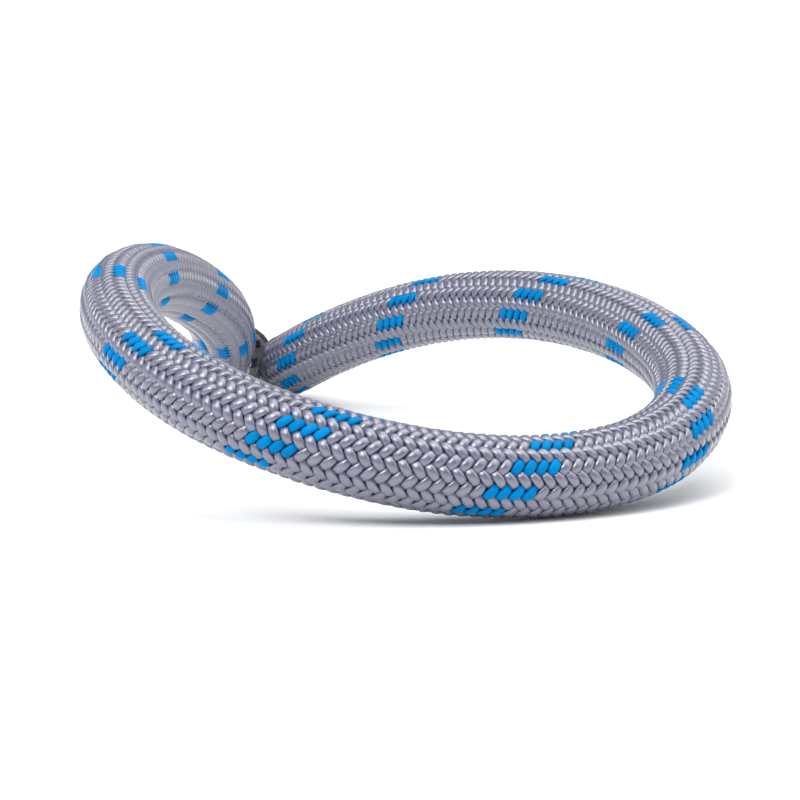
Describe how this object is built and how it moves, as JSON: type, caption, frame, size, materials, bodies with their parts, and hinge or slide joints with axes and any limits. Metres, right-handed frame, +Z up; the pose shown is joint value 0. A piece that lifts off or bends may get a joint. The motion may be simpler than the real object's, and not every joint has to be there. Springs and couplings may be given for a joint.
{
  "type": "dynamic climbing rope",
  "caption": "Short bare length of braided kernmantle climbing rope, bent into a tall-sided loop that stands on its front bend and its two heat-sealed ends.",
  "frame": {"origin": "centre of the rope loop's outline seen from above, on the surface that it stands on", "axes": "+Z up, +Y from the front bend towards the two cut ends at the back, +X towards the loop's right bend"},
  "size_m": [0.0845, 0.1423, 0.0281],
  "materials": {
    "sheath_yarn": "glossy braided nylon yarn, grey-lavender",
    "tracer_yarn": "glossy braided nylon yarn, bright blue",
    "core_yarn": "undyed twisted nylon strand",
    "thread": "dyed nylon thread",
    "melted_nylon": "melted and set hard"
  },
  "bodies": {
    "root": {"sheath": "sheath_yarn", "core_strand_01": "core_yarn", "core_strand_02": "core_yarn", "core_strand_03": "core_yarn", "core_strand_04": "core_yarn", "core_strand_05": "core_yarn", "core_strand_06": "core_yarn", "core_strand_07": "core_yarn", "core_strand_08": "core_yarn", "core_strand_09": "core_yarn", "core_strand_10": "core_yarn", "core_strand_11": "core_yarn", "core_strand_12": "core_yarn", "marker_thread": "thread", "sealed_end_back": "melted_nylon", "sealed_end_left": "melted_nylon"}
  },
  "joints": []
}
